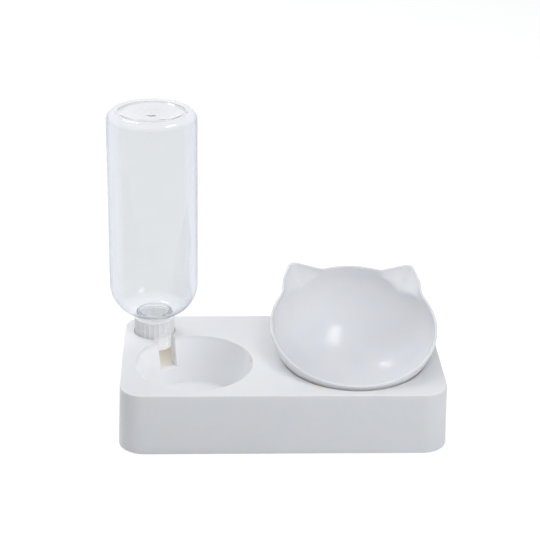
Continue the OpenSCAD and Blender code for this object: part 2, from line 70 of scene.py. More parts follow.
# Base: deck and leaning walls
DECK_W = 300
DECK_D = 164
WALL_H = 59
WALL = 2.6
CORNER_R = 23
FLARE = 1.9  # how far the walls' feet stand out from the deck's outline
EDGE_R = 1.1  # radius of the deck's outer edge
RIM = 0.8  # radius of the water bowl's and the well's rims
SMALL_EDGE = 0.4  # edges of ledge, pin and cap

# Water bowl
WATER_X, WATER_Y = BASE_X - 82.2, BASE_Y - 16.4
WATER_R = 55
WATER_DEPTH = 47
WATER_DRAFT = 10.5  # lean of the water bowl's wall
WATER_FILLET = 2.5

# Bottle niche, its slot to the water bowl, the ledge under the cap and the valve's pin
NICHE_R = 20
NICHE_FLOOR = DECK_Z - 30
NICHE_EDGE = 0.6  # radius of the niche's rim
NICHE_FILLET = 1.2
SLOT_W = 18.4
SLOT_TURN = 300  # direction of the slot, from the X axis
SLOT_REACH = 50.4  # from the niche's middle
LEDGE_W = 4.5
LEDGE_H = 16
LEDGE_FROM = 80  # where the ledge starts, from the X axis
LEDGE_SPAN = 190  # angle that the ledge covers
PIN_R = 2
PIN_TOP = CAP_Z + 4

# Feet, each with a dent below, in a pocket of a disc in the base's corner
FOOT_R = 7
FOOT_H = 2.4
FOOT_GAP = 0.15
FOOT_EDGE = 0.5
FOOT_CHAMFER = 0.2
DENT_R = 3.2
DENT_EDGE_R = 3.6
DENT_H = 0.25
DISC_INSET = 0.3  # how far the disc stays inside the corner's arc
DISC_H = 3.6

# Food bowl, in a frame with its rim's plane at z = 0
BOWL = np.array([BASE_X + 68.175, BASE_Y + 2.056, 91.0196])
TILT = 20
BOWL_R = 79
BOWL_DEPTH = 56
BOWL_WALL = 2.4
FULL = 1.9  # power of the superellipse that the bowl's body follows
TURN = -1.7  # how far the ears are turned about the bowl's axis
BOWL_FOOT = -BOWL_DEPTH
BRIM_STEP = 22.5

# Its foot ring, with points as (offset from the ring's outer or inner radius, height over the foot)
RING_R = 30
RING_W = 2.6
RING_H = 1.5
RING_CLEAR = 0.9  # how far the body's rows stay from the foot ring
RING_CENTRE = 12  # radius of the flat middle under the bowl
RING_OUTSIDE = ((0.25, 0.7 * RING_H), (0, 0.4), (-0.12, 0.12), (-0.4, 0))
RING_INSIDE = ((0.4, 0), (0.12, 0.12), (0, 0.4), (-0.1, RING_H - 0.3), (-0.5, RING_H))

# Its ears. The angles lie off the bowl's back, seen from its middle.
EAR_REACH = 100.5  # from the bowl's middle to an ear's tip
EAR_TIP = 36.3
EAR_IN = 23
EAR_OUT = 57.5
EAR_LOW = 40.5
EAR_ROUND = 7  # radius laid round the core of an ear
EAR_DEPTH = 8.5  # from the rim down to the core's low corner
EAR_BOW = 2.2  # how far an ear's outer edge bows out
EAR_BLEND = 1.2  # softness of the line between ear and body
EAR_SIDES = (-1, 1)

# Rays from the bowl's middle that find the ears' skin
RAY_FROM = 112.0  # distance from which a ray is followed inwards
RAY_STEPS = 48
RAY_HIT = 0.02  # how near the skin a ray has to end
RAY_LEAST = 40  # shortest ray that counts
RAY_CONE = 0.82  # cosine of the widest angle to an ear's middle

# The bowl's grid: steps between columns, rows as (from, to, step) below the rim, and the inside's
# smoothing as (passes, lowest row)
COLUMN_FINE = 0.5
COLUMN_WIDE = 2.0
EAR_FROM = 13  # the columns are fine from this angle off the back to the next one
EAR_TO = 68
BOWL_ROWS = ((0, 15, 0.5), (15, 24, 1.0), (24, 91, 2.0))
SMOOTHING = ((5, 14), (30, 4.5))

# Well of the food bowl and the tilted seat in it
WELL_X = BOWL[0]
WELL_Y = BASE_Y - 5.775
WELL_R = 67.2248
WELL_FLOOR = 25.6785
WELL_FILLET = 1.5
SEAT_R = 32.8
SEAT_LIP = 2.4
SEAT_EDGE = 0.8
SEAT_HOLE_R = 30.4
SEAT_LENGTH = 60  # how far the seat runs down before it is cut to the well
CORE_LENGTH = 90  # how far its hollow runs down

# Bottle, upside down: neck, support ring, shoulder, body and the punt in its bottom
BOTTLE_R = 42.3
BOTTLE_WALL = 1.0
SHOULDER_R = 31
BOTTOM_R = 8.5  # radius between the bottle's side and bottom
NECK_R = 16
NECK_WALL = 1.9
NECK_H = 29
LIP_EDGE = 0.4
LIP_CHAMFER = 0.3
COLLAR_R = 17.9
COLLAR_H = 1.6
COLLAR_GAP = 1.6  # gap between the cap and the collar
COLLAR_EDGE = 0.5
COLLAR_BLEND = 0.3
THROAT_TURN = 0.8  # angle by which the shoulder starts past the neck
PUNT_DEPTH = 4
PUNT_EDGE = 2.4
PUNT_ARC = (82, 140)  # angles where the punt's soft edge starts and ends
PUNT_ARC_INSIDE = 96  # angle where the inside of that edge ends
PUNT_FLAT = 12  # radius of the nearly flat middle of the punt
PUNT_RISE = 0.2
PUNT_RISE_INSIDE = 0.1
# Points as (distance in from the punt's edge, height over its middle)
PUNT_OUTSIDE = ((8, 2.2), (14, 0.9))
PUNT_INSIDE = ((14, 0.7 - BOTTLE_WALL), (8, 0.9), (2.6, 1.9))
NUB_R = 5.6
NUB_H = 0.4
NUB_STEPS = 10

# Threads: one turn each, with a tooth that fades in and out at its ends
PITCH = 4.0
THREAD_FROM = 25  # direction in which a thread starts
THREAD_STEPS = 120
TOOTH_ROOT = 0.8  # half width at the wall
TOOTH_CREST = 0.4  # half width at the crest
TOOTH_CROWN = 0.06  # the crest's rise, as a share of the tooth's height
TOOTH_SINK = 0.3  # how far the tooth stands in its wall
FADE_RATE = 12  # a tooth has its full height after about 1 / this of a turn
FADE_LEAST = 0.05  # its share of that height at the very end
NECK_THREAD_Z = MOUTH_Z + 5
CAP_THREAD_Z = MOUTH_Z + 7
THREAD_H = 1.0

# Cap: skirt, ribs under a smooth band, bore, valve cage with windows, outlet
CAP_R = 19.4
CAP_BORE = 17.6
CAP_FLOOR = CAP_Z + 3
CAP_EDGE = 0.8
BAND = 1.8  # height of the smooth band at the cap's mouth
SKIRT_STEP = 0.8  # how far the skirt lies inside the band
BAND_CHAMFER = 0.2
BAND_TAPER = 0.3
MOUTH_CHAMFER = 0.5
RIBS = 24
RIB_R = 1.5
RIB_EDGE = 0.5
RIB_INSET = 0.2  # how far the ribs lie inside the band
CAGE_IN = 8.0
CAGE_OUT = 9.4
CAGE_H = 14.6
CAGE_SEAT_R = 8.5
CAGE_SEAT_H = 2
CAGE_EDGE = 0.3
WINDOWS = 4
WINDOW_HALF = 3
WINDOW_LOW = 1.2
WINDOW_HIGH = 7.6
WINDOW_IN = 5
WINDOW_OUT = 11
OUTLET_R = 4.5
# A shallow relief round the outlet, so that the closed valve's washer doesn't cut the finer mesh
RELIEF_R = 7.4
RELIEF_DEPTH = 0.06

# Numbers that keep divisions and powers finite
NEAR_ZERO = 1e-12
LEAST_ANGLE = 1e-9
LEAST_POWER = -40

# Meshes
TINY = 1e-6  # radius below which a ring is one vertex
WELD = 1e-4  # distance at which vertices merge
NORMAL_WEIGHT = 90

# Edges that only the shading softens
BEVEL_R = 0.5
CAP_BEVEL = 0.25
VALVE_BEVEL = 0.15
BEVEL_SAMPLES = 6

# Painted light in the hollows: a weak emission glow, and a warm tint in the niche and well, stand
# in for light that comes through the thin plastic and bounces in them; in the water bowl the glow
# is painted light on its left side.
# A fade gives the depths under the deck between which a glow comes in, and a margin is added to the
# radius of its hollow.
MASK_EDGE = 0.6  # width over which a mask ends at its radius
HOLLOW_MARGIN = 0.5
WATER_FADE = (0.8, 4)
NICHE_FADE = (0.5, 9)
WELL_FADE = (0.8, 3)
BRIM_FADE = (3, 6)
BORE_FADE = (DECK_Z - CAP_TOP - 0.2, DECK_Z - CAP_TOP + 1)
CAP_FOOT_FADE = (-0.6, 1.5)
BORE_MARGIN = -1.6
CAP_FOOT_MARGIN = 2
# Painted warm tints for the light that bounces in the white plastic of the niche and the well
NICHE_PAINTED_WARMTH = (1.03, 0.99, 0.92)
WELL_PAINTED_WARMTH = (1.03, 1.0, 0.96)
# Painted glow colours, where shade would fall: the water bowl, the niche, the gap at the well's rim
# under the food bowl, the well, the cap's bore and the crevice at the cap's foot
WATER_PAINTED_GLOW = (0.15, 0.15, 0.148)
NICHE_PAINTED_GLOW = (0.058, 0.053, 0.043)
BRIM_PAINTED_GLOW = (0.13, 0.118, 0.095)
WELL_PAINTED_GLOW = (0.05, 0.045, 0.036)
BORE_PAINTED_GLOW = (0.35, 0.348, 0.34)
CAP_FOOT_PAINTED_GLOW = (0.09, 0.087, 0.08)
WATER_GLOSS = 2.2  # the water bowl's roughness is less by one part in this
WATER_GLOW_REACH = 1.6  # its painted glow, brighter on the left, ends this many radii right of its middle

# The clear plastic's tint face-on, with painted shade that makes it greyer and bluer edge-on, and
# the painted lighter tint of the bottle's two ends
CLEAR_TINT_AND_EDGE_SHADE = (
    (0.0, (0.81, 0.82, 0.832)), (0.24, (0.815, 0.825, 0.84)), (0.32, (0.835, 0.855, 0.90)),
    (0.52, (0.81, 0.83, 0.88)), (0.6, (0.70, 0.73, 0.80)), (0.68, (0.44, 0.51, 0.66)),
    (1.0, (0.27, 0.35, 0.52)))
CLEAR_PAINTED_END_LIGHT = (0.925, 0.935, 0.955)
NECK_FADE = (12, 6)  # heights over the cap between which the end's painted lighter tint comes in
PUNT_FADE = (-7, -3)  # the same from the bottle's top

# Floor and world
FLOOR_HALF = 4000
FLOOR_GLOW = 0.86  # as the camera sees it
FLOOR_FAINT = 0.30  # what the camera sees of the light and shadow on it
FLOOR_PLAIN = 0.72  # as it reflects light to the object
FILL_COLOUR = (0.95, 0.975, 1.0, 1)
FILL = 0.18  # the world as it lights the object
BACKDROP = 1.0  # the world as the camera sees it

# Lamps, in metres, watts and degrees
WARM = (1.0, 0.99, 0.97)
COOL = (0.985, 0.99, 1.0)
BLUE = (0.96, 0.975, 1.0)
DEEP_BLUE = (0.94, 0.965, 1.0)
# Those that also show as highlights: name, place, aim, size, power, colour, roll
HIGHLIGHTS = (
    ("key", (0.44, -0.14, 1.15), (0.02, -0.02, 0.05), (0.46, 0.22), 1.7, WARM, 8),
    ("glint", (-0.32, 0.76, 1.0), (0.07, 0, 0.06), (0.05, 0.22), 0.45, WARM, 0))
# Those for diffuse light alone, all with one aim: name, place, size, power, colour
SOFT_AIM = (0, 0, 0.06)
SOFT_LAMPS = (
    ("top", (-0.2, 0.03, 1.4), (1.3, 1.3), 5.0, COOL),
    ("left", (-1.2, 0.1, 0.7), (1.0, 1.0), 2.0, COOL),
    ("back_left", (-0.8, 0.9, 1.1), (0.9, 0.9), 9.6, COOL),
    ("front_right", (0.9, -1.0, 0.8), (1.2, 1.2), 4.9, BLUE),
    ("front_high", (0.1, -0.9, 1.2), (0.9, 0.9), 1.4, BLUE),
    ("front_low", (0.56, -1.12, 0.29), (0.6, 0.25), 2.5, DEEP_BLUE))

# Camera, from a fit to the base's edges in the photograph, with the focal length in its pixels
PITCH_DOWN = 24.552
YAW = 2.558
ROLL = 1.054
SENSOR = 36
FOCAL_PIXELS = 1580.6
PHOTO_PIXELS = 540
CLIP_END = 20
CAMERA_X, CAMERA_Y, CAMERA_Z = BASE_X - 71.4, BASE_Y - 1329.1, BASE_Z + 754.2


# ---------------------------------------------------------------- mesh helpers
def arc(cx, cy, r, a0, a1, steps=8):
    return [(cx + r * math.cos(math.radians(a0 + (a1 - a0) * i / steps)),
             cy + r * math.sin(math.radians(a0 + (a1 - a0) * i / steps))) for i in range(steps + 1)]


def revolve(profile, segments=144, sweep=360, start=0, closed=False):
    """Vertices and faces of a profile of (radius, height) turned about the Z axis."""
    verts, rings, faces = [], [], []
    whole = sweep == 360
    count = segments if whole else segments + 1
    for r, z in profile:
        if r < TINY:
            rings.append([len(verts)] * count)
            verts.append((0, 0, z))
        else:
            rings.append(list(range(len(verts), len(verts) + count)))
            for j in range(count):
                a = math.radians(start + sweep * j / segments)
                verts.append((r * math.cos(a), r * math.sin(a), z))
    pairs = list(zip(rings, rings[1:]))
    if closed:
        pairs.append((rings[-1], rings[0]))
    for low, high in pairs:
        for j in range(segments):
            k = (j + 1) % count
            face = []
            for v in (low[j], low[k], high[k], high[j]):
                if v not in face:
                    face.append(v)
            if len(face) > 2:
                faces.append(face)
    if not whole:
        faces.append([r[0] for r in rings])
        faces.append([r[-1] for r in reversed(rings)])
    return verts, faces


def make(name, verts, faces, place=Matrix.Identity(4)):
    """A scratch object from lists in millimetres, with its faces turned outwards."""
    mesh = bpy.data.meshes.new(name)
    mesh.from_pydata([tuple(map(float, v)) for v in verts], [], faces)
    bm = bmesh.new()
    bm.from_mesh(mesh)
    bmesh.ops.remove_doubles(bm, verts=bm.verts, dist=WELD)
    bmesh.ops.recalc_face_normals(bm, faces=bm.faces)
    bm.to_mesh(mesh)
    bm.free()
    mesh.transform(place)
    obj = bpy.data.objects.new(name, mesh)
    scene.collection.objects.link(obj)
    return obj


def turned(name, profile, x=0, y=0, place=None, **options):
    verts, faces = revolve(profile, **options)
    return make(name, verts, faces, Matrix.Translation((x, y, 0)) if place is None else place)


def drum(name, r, z0, z1, x, y, segments=160):
    return turned(name, [(0, z0), (r, z0), (r, z1), (0, z1)], x, y, segments=segments)


def side_faces(rings, count):
    """Quads between neighbouring rings of vertex numbers."""
    return [[low[j], low[(j + 1) % count], high[(j + 1) % count], high[j]]
            for low, high in zip(rings, rings[1:]) for j in range(count)]


def lofted(name, loops, place=Matrix.Identity(4)):
    """A closed solid through loops of equal length, with flat ends."""
    n = len(loops[0])
    rings = [list(range(i * n, (i + 1) * n)) for i in range(len(loops))]
    verts = [p for loop in loops for p in loop]
    return make(name, verts, [rings[0], rings[-1]] + side_faces(rings, n), place)


def box_loops(x0, x1, y0, y1, heights):
    return [[(x0, y0, z), (x1, y0, z), (x1, y1, z), (x0, y1, z)] for z in heights]


def round_loop(w, d, r, z, x=0, y=0, steps=20):
    loop = []
    for sx, sy, a in ((1, 1, 0), (-1, 1, 90), (-1, -1, 180), (1, -1, 270)):
        for px, py in arc(x + sx * (w / 2 - r), y + sy * (d / 2 - r), r, a, a + 90, steps):
            loop.append((px, py, z))
    return loop


def discard(obj):
    mesh = obj.data
    bpy.data.objects.remove(obj)
    bpy.data.meshes.remove(mesh)


def cut(target, steps):
    """Applies booleans to target in order, then deletes their tools."""
    for kind, tool in steps:
        m = target.modifiers.new(kind, "BOOLEAN")
        m.operation, m.solver, m.object = kind, "EXACT", tool
    graph = bpy.context.evaluated_depsgraph_get()
    mesh = bpy.data.meshes.new_from_object(target.evaluated_get(graph))
    target.modifiers.clear()
    old, target.data = target.data, mesh
    bpy.data.meshes.remove(old)
    for _, tool in steps:
        discard(tool)
    return target


def join(*objs):
    """Puts several closed meshes into the first object."""
    bm = bmesh.new()
    for o in objs:
        bm.from_mesh(o.data)
    bm.to_mesh(objs[0].data)
    bm.free()
    for o in objs[1:]:
        discard(o)
    return objs[0]


def piece(obj, name, body, material, replaces, sharp=32, weighted=False):
    """Finishes a scratch object: metres, shading, material and the body that it rides on."""
    obj.name = obj.data.name = name
    mesh = obj.data
    mesh.transform(Matrix.Scale(MM, 4))
    mesh.materials.clear()
    mesh.materials.append(material)
    mesh.polygons.foreach_set("use_smooth", [True] * len(mesh.polygons))
    mesh.set_sharp_from_angle(angle=math.radians(sharp))
    if weighted:
        m = obj.modifiers.new("weighted", "WEIGHTED_NORMAL")
        m.keep_sharp = True
        m.weight = NORMAL_WEIGHT
    mesh.update()
    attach(obj, body)
    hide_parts(*replaces)
    return obj


# ---------------------------------------------------------------- shader helpers
def nodes_of(name):
    m = bpy.data.materials.new(name)
    m.use_nodes = True
    return m, m.node_tree, m.node_tree.nodes["Principled BSDF"]


def shader(tree, kind, **constants):
    """A new node with constants on its sockets; an underscore in a name stands for a space."""
    n = tree.nodes.new("ShaderNode" + kind)
    for key, value in constants.items():
        n.inputs[key.replace("_", " ")].default_value = value
    return n


def place_of(tree):
    return shader(tree, "TexCoord").outputs["Object"]


def ramp(tree, source, stops):
    n = shader(tree, "ValToRGB")
    while len(n.color_ramp.elements) < len(stops):
        n.color_ramp.elements.new(0.5)
    for e, (pos, value) in zip(n.color_ramp.elements, stops):
        e.position = pos
        e.color = (*value, 1) if isinstance(value, tuple) else (value, value, value, 1)
    tree.links.new(source, n.inputs["Fac"])
    return n.outputs["Color"]


def noise(tree, scale, detail=4, rough=0.55, stretch=None):
    out = place_of(tree)
    if stretch:
        mapping = shader(tree, "Mapping", Scale=stretch)
        tree.links.new(out, mapping.inputs["Vector"])
        out = mapping.outputs["Vector"]
    n = shader(tree, "TexNoise", Scale=scale, Detail=detail, Roughness=rough)
    tree.links.new(out, n.inputs["Vector"])
    return n.outputs["Fac"]


def span(tree, value, low, high):
    """0 at low, 1 at high and straight between them."""
    n = shader(tree, "MapRange", From_Min=low, From_Max=high)
    tree.links.new(value, n.inputs["Value"])
    return n.outputs["Result"]


def combine(tree, operation, a, b):
    n = shader(tree, "Math")
    n.operation = operation
    tree.links.new(a, n.inputs[0])
    tree.links.new(b, n.inputs[1])
    return n.outputs[0]


def bump(tree, height, strength, distance, normal=None):
    n = shader(tree, "Bump", Strength=strength, Distance=distance)
    tree.links.new(height, n.inputs["Height"])
    if normal is not None:
        tree.links.new(normal, n.inputs["Normal"])
    return n.outputs["Normal"]


def split(tree):
    """The place on the object as separate X, Y and Z, in metres."""
    n = shader(tree, "SeparateXYZ")
    tree.links.new(place_of(tree), n.inputs[0])
    return n.outputs


def masked(tree, x, y, r, fade):
    """1 inside a round hollow below the deck, coming in between the two depths of fade."""
    flat = shader(tree, "VectorMath")
    flat.operation = "MULTIPLY"
    tree.links.new(place_of(tree), flat.inputs[0])
    flat.inputs[1].default_value = (1, 1, 0)
    away = shader(tree, "VectorMath")
    away.operation = "DISTANCE"
    tree.links.new(flat.outputs[0], away.inputs[0])
    away.inputs[1].default_value = (x * MM, y * MM, 0)
    inside = span(tree, away.outputs["Value"], (r + MASK_EDGE) * MM, r * MM)
    deep = span(tree, split(tree)["Z"], (DECK_Z - fade[0]) * MM, (DECK_Z - fade[1]) * MM)
    return combine(tree, "MULTIPLY", inside, deep)


def blended(tree, kind, factor, a, colour):
    """Colour laid over a by factor; without a, over black."""
    mix = shader(tree, "Mix")
    mix.data_type, mix.blend_type = "RGBA", kind
    tree.links.new(factor, mix.inputs["Factor"])
    if a is None:
        mix.inputs["A"].default_value = (0, 0, 0, 1)
    else:
        tree.links.new(a, mix.inputs["A"])
    mix.inputs["B"].default_value = (*colour, 1)
    return mix.outputs["Result"]


def painted_glow(tree, p, glows):
    """Painted glow: a weak emission standing in for light through thin plastic and for light in the
    hollows, as the sum of (mask, colour) pairs.
    """
    total = None
    for mask, colour in glows:
        total = blended(tree, "ADD", mask, total, colour)
    tree.links.new(total, p.inputs["Emission Color"])
    p.inputs["Emission Strength"].default_value = 1.0


# ---------------------------------------------------------------- materials
def base_painted_light(tree, p, colour, rough):
    """Painted light in the base's hollows: a weak glow in each, and a warm tint in the deep narrow
    ones.
    """
    water = masked(tree, WATER_X, WATER_Y, WATER_R, WATER_FADE)
    niche = masked(tree, NICHE_X, NICHE_Y, NICHE_R + HOLLOW_MARGIN, NICHE_FADE)
    well = masked(tree, WELL_X, WELL_Y, WELL_R + HOLLOW_MARGIN, WELL_FADE)
    below = masked(tree, WELL_X, WELL_Y, WELL_R + HOLLOW_MARGIN, BRIM_FADE)
    # Painted warm tint in the niche and the well
    for mask, tint in ((niche, NICHE_PAINTED_WARMTH), (well, WELL_PAINTED_WARMTH)):
        colour = blended(tree, "MULTIPLY", mask, colour, tint)
    tree.links.new(colour, p.inputs["Base Color"])
    smoother = span(tree, water, WATER_GLOSS, 0)
    tree.links.new(combine(tree, "MULTIPLY", rough, smoother), p.inputs["Roughness"])
    # Painted light on the water bowl, brighter towards its left side
    left = span(tree, split(tree)["X"],
                (WATER_X + WATER_GLOW_REACH * WATER_R) * MM, (WATER_X - WATER_R) * MM)
    painted_glow(tree, p, ((combine(tree, "MULTIPLY", water, left), WATER_PAINTED_GLOW), (niche, NICHE_PAINTED_GLOW),
                      (combine(tree, "SUBTRACT", well, below), BRIM_PAINTED_GLOW), (well, WELL_PAINTED_GLOW)))


def cap_painted_light(tree, p, colour, rough):
    """Painted glow in the cap's bore, and a little at its foot below the deck, where they would lie
    in shade.
    """
    bore = masked(tree, NICHE_X, NICHE_Y, CAP_R + BORE_MARGIN, BORE_FADE)
    foot = masked(tree, NICHE_X, NICHE_Y, CAP_R + CAP_FOOT_MARGIN, CAP_FOOT_FADE)
    tree.links.new(colour, p.inputs["Base Color"])
    tree.links.new(rough, p.inputs["Roughness"])
    painted_glow(tree, p, ((bore, BORE_PAINTED_GLOW), (foot, CAP_FOOT_PAINTED_GLOW)))


def plain_light(tree, p, colour, rough):
    tree.links.new(colour, p.inputs["Base Color"])
    tree.links.new(rough, p.inputs["Roughness"])


def moulded(name, colour, shade, rough, edge=0.0, grain=0.25, wave=0.12, coat=0.0, sub=0.0,
            light=plain_light):
    """Moulded plastic: cloudy colour, uneven gloss, a faint wavy skin and softened edges."""
    m, tree, p = nodes_of(name)
    cloud = ramp(tree, noise(tree, scale=22, detail=3), [(0.3, shade), (0.7, colour)])
    uneven = ramp(tree, noise(tree, scale=60, detail=5),
                  [(0.3, rough - 0.04), (0.7, rough + 0.05)])
    light(tree, p, cloud, uneven)
    soft_edge = None
    if edge:
        bevel = shader(tree, "Bevel", Radius=edge * MM)
        bevel.samples = BEVEL_SAMPLES
        soft_edge = bevel.outputs["Normal"]
    waves = bump(tree, noise(tree, scale=45, detail=2), strength=wave, distance=0.0004,
                 normal=soft_edge)
    fine = bump(tree, noise(tree, scale=1400, detail=2), strength=grain, distance=0.00003,
                normal=waves)
    tree.links.new(fine, p.inputs["Normal"])
    p.inputs["Specular IOR Level"].default_value = 0.5
    p.inputs["Coat Weight"].default_value = coat
    p.inputs["Coat Roughness"].default_value = 0.08
    if sub:
        p.inputs["Subsurface Weight"].default_value = sub
        p.inputs["Subsurface Scale"].default_value = 0.005
        p.inputs["Subsurface Radius"].default_value = (1.0, 0.85, 0.65)
    return m


def rubber(name, colour, shade, rough):
    """Dull rubber with a speckled colour and a fine grain."""
    m, tree, p = nodes_of(name)
    speckle = ramp(tree, noise(tree, scale=120, detail=6, rough=0.7),
                   [(0.35, shade), (0.65, colour)])
    tree.links.new(speckle, p.inputs["Base Color"])
    uneven = ramp(tree, noise(tree, scale=400, detail=4),
                  [(0.3, rough), (0.7, min(1.0, rough + 0.12))])
    tree.links.new(uneven, p.inputs["Roughness"])
    grain = bump(tree, noise(tree, scale=900, detail=5, rough=0.7), strength=0.5,
                 distance=0.00008)
    tree.links.new(grain, p.inputs["Normal"])
    p.inputs["Sheen Weight"].default_value = 0.08
    return m


def clear(name):
    """Clear blown plastic: a slightly wavy skin, with painted shade that turns it greyer where it
    is seen at a slant and painted light on its two ends.
    """
    m, tree, p = nodes_of(name)
    facing = shader(tree, "LayerWeight", Blend=0.35)
    # Painted shade: greyer and bluer where the skin is seen edge-on
    tint = ramp(tree, facing.outputs["Facing"], CLEAR_TINT_AND_EDGE_SHADE)
    height = split(tree)["Z"]
    # Painted light: the neck and the punt lighter
    ends = combine(tree, "MAXIMUM", *(
        span(tree, height, (level + fade[0]) * MM, (level + fade[1]) * MM)
        for level, fade in ((CAP_TOP, NECK_FADE), (BOTTLE_TOP, PUNT_FADE))))
    tree.links.new(blended(tree, "MIX", ends, tint, CLEAR_PAINTED_END_LIGHT), p.inputs["Base Color"])
    uneven = ramp(tree, noise(tree, scale=30, detail=3), [(0.3, 0.012), (0.7, 0.035)])
    tree.links.new(uneven, p.inputs["Roughness"])
    streaks = bump(tree, noise(tree, scale=26, detail=2, rough=0.5, stretch=(1, 1, 0.18)),
                   strength=0.16, distance=0.0012)
    ripple = bump(tree, noise(tree, scale=160, detail=2), strength=0.04, distance=0.0003,
                  normal=streaks)
    tree.links.new(ripple, p.inputs["Normal"])
    p.inputs["Transmission Weight"].default_value = 1.0
    p.inputs["IOR"].default_value = 1.46
    return m


def wire(name):
    """Drawn steel wire with fine streaks."""
    m, tree, p = nodes_of(name)
    streaks = ramp(tree, noise(tree, scale=700, detail=3, rough=0.5, stretch=(1, 1, 6)),
                   [(0.3, (0.48, 0.48, 0.49)), (0.7, (0.62, 0.62, 0.63))])
    tree.links.new(streaks, p.inputs["Base Color"])
    uneven = ramp(tree, noise(tree, scale=500, detail=3), [(0.3, 0.22), (0.7, 0.34)])
    tree.links.new(uneven, p.inputs["Roughness"])
    p.inputs["Metallic"].default_value = 1.0
    return m


base_mat = moulded("base_satin_white", (0.83, 0.835, 0.85), (0.815, 0.82, 0.835), 0.34,
                   edge=BEVEL_R, grain=0.3, wave=0.08, sub=0.5, light=base_painted_light)
bowl_mat = moulded("bowl_gloss_white", (0.80, 0.81, 0.84), (0.79, 0.80, 0.83), 0.17,
                   grain=0.02, wave=0.01, coat=0.05, sub=0.5)
cap_mat = moulded("cap_white", (0.88, 0.88, 0.89), (0.86, 0.86, 0.87), 0.28,
                  edge=CAP_BEVEL, grain=0.15, light=cap_painted_light)
valve_mat = moulded("valve_white", (0.88, 0.88, 0.88), (0.85, 0.85, 0.85), 0.4,
                    edge=VALVE_BEVEL, grain=0.3)
foot_mat = rubber("foot_rubber", (0.60, 0.60, 0.60), (0.52, 0.52, 0.52), 0.7)
seal_mat = rubber("seal_rubber", (0.88, 0.88, 0.89), (0.84, 0.84, 0.85), 0.55)
washer_mat = rubber("washer_rubber", (0.045, 0.045, 0.048), (0.03, 0.03, 0.032), 0.6)
bottle_mat = clear("bottle_clear")
spring_mat = wire("spring_wire")


# ---------------------------------------------------------------- base
def leaning_block(name, w, d, r, h, z0):
    """A block whose walls lean in by FLARE, with round corners and a rounded upper edge."""
    edge = arc(r - EDGE_R, h - EDGE_R, EDGE_R, 0, 90, steps=6)
    levels = [(FLARE, 0)] + [(x - r, z) for x, z in edge]
    return lofted(name, [round_loop(w + 2 * o, d + 2 * o, r + o, z0 + z, BASE_X, BASE_Y)
                         for o, z in levels])


def water_profile(shell):
    """Half section of the water bowl below its rim, grown by shell."""
    mid_z = DECK_Z - WATER_DEPTH + WATER_FILLET
    draft = math.radians(WATER_DRAFT)
    rise = DECK_Z - RIM - (mid_z - WATER_FILLET * math.sin(draft))
    mid_r = WATER_R - rise * math.tan(draft) - WATER_FILLET * math.cos(draft)
    fillet = arc(mid_r, mid_z, WATER_FILLET + shell, -90, -WATER_DRAFT, steps=12)
    return [(0, DECK_Z - WATER_DEPTH - shell)] + fillet


def rim_profile(r, edge):
    """The rounded rim of a round hollow in the deck, closed above the deck."""
    return (arc(r + edge, DECK_Z - edge, edge, 180, 90, steps=6)
            + [(r + edge, DECK_Z + CLEAR), (0, DECK_Z + CLEAR)])


def hollow(name, x, y, r, floor_z, fillet, edge, segments):
    """Cutter for a round hollow with upright walls."""
    corner = arc(r - fillet, floor_z + fillet, fillet, -90, 0, steps=5)
    return turned(name, [(0, floor_z)] + corner + rim_profile(r, edge), x, y, segments=segments)


def slot_tool(grow, z0, z1):
    half = SLOT_W / 2 + grow
    turn = Matrix.Rotation(math.radians(SLOT_TURN), 4, "Z")
    return lofted("slot", box_loops(0, SLOT_REACH, -half, half, (z0, z1)),
                  Matrix.Translation((NICHE_X, NICHE_Y, 0)) @ turn)


bowl_frame = Matrix.Translation(BOWL.tolist()) @ Matrix.Rotation(math.radians(TILT), 4, "X")


def tilted_drum(name, r, z0, z1, edge=0.0):
    corner = arc(r - edge, z1 - edge, edge, 0, 90, steps=4) if edge else [(r, z1)]
    return turned(name, [(0, z0), (r, z0)] + corner + [(0, z1)], place=bowl_frame, segments=120)


def build_seat():
    """The tilted round seat of the food bowl, cut to the room inside the well."""
    seat = tilted_drum("seat", SEAT_R, BOWL_FOOT - SEAT_LENGTH, BOWL_FOOT + SEAT_LIP, SEAT_EDGE)
    room = lofted("room", box_loops(WELL_X - WELL_R, WELL_X + WELL_R, BOWL[1] - WELL_R,
                                    BOWL[1] + WELL_R, (WELL_FLOOR - WALL / 2, DECK_Z)))
    recess = tilted_drum("ring", SEAT_HOLE_R, BOWL_FOOT, BOWL_FOOT + SEAT_LIP + CLEAR)
    return cut(seat, [("INTERSECT", room), ("DIFFERENCE", recess)])


def build_ledge():
    inner, top = NICHE_R - LEDGE_W, NICHE_FLOOR + LEDGE_H
    low, outer = NICHE_FLOOR - SINK, NICHE_R + SINK
    section = [(inner, low), (outer, low), (outer, top), (inner + SMALL_EDGE, top),
               (inner, top - SMALL_EDGE)]
    return turned("ledge", section, NICHE_X, NICHE_Y, segments=80, sweep=LEDGE_SPAN,
                  start=LEDGE_FROM, closed=True)


def build_pin():
    tip = arc(PIN_R - SMALL_EDGE, PIN_TOP - SMALL_EDGE, SMALL_EDGE, 0, 90, steps=4)
    low = NICHE_FLOOR - SINK
    return turned("pin", [(0, low), (PIN_R, low)] + tip + [(0, PIN_TOP)], NICHE_X, NICHE_Y,
                  segments=48)


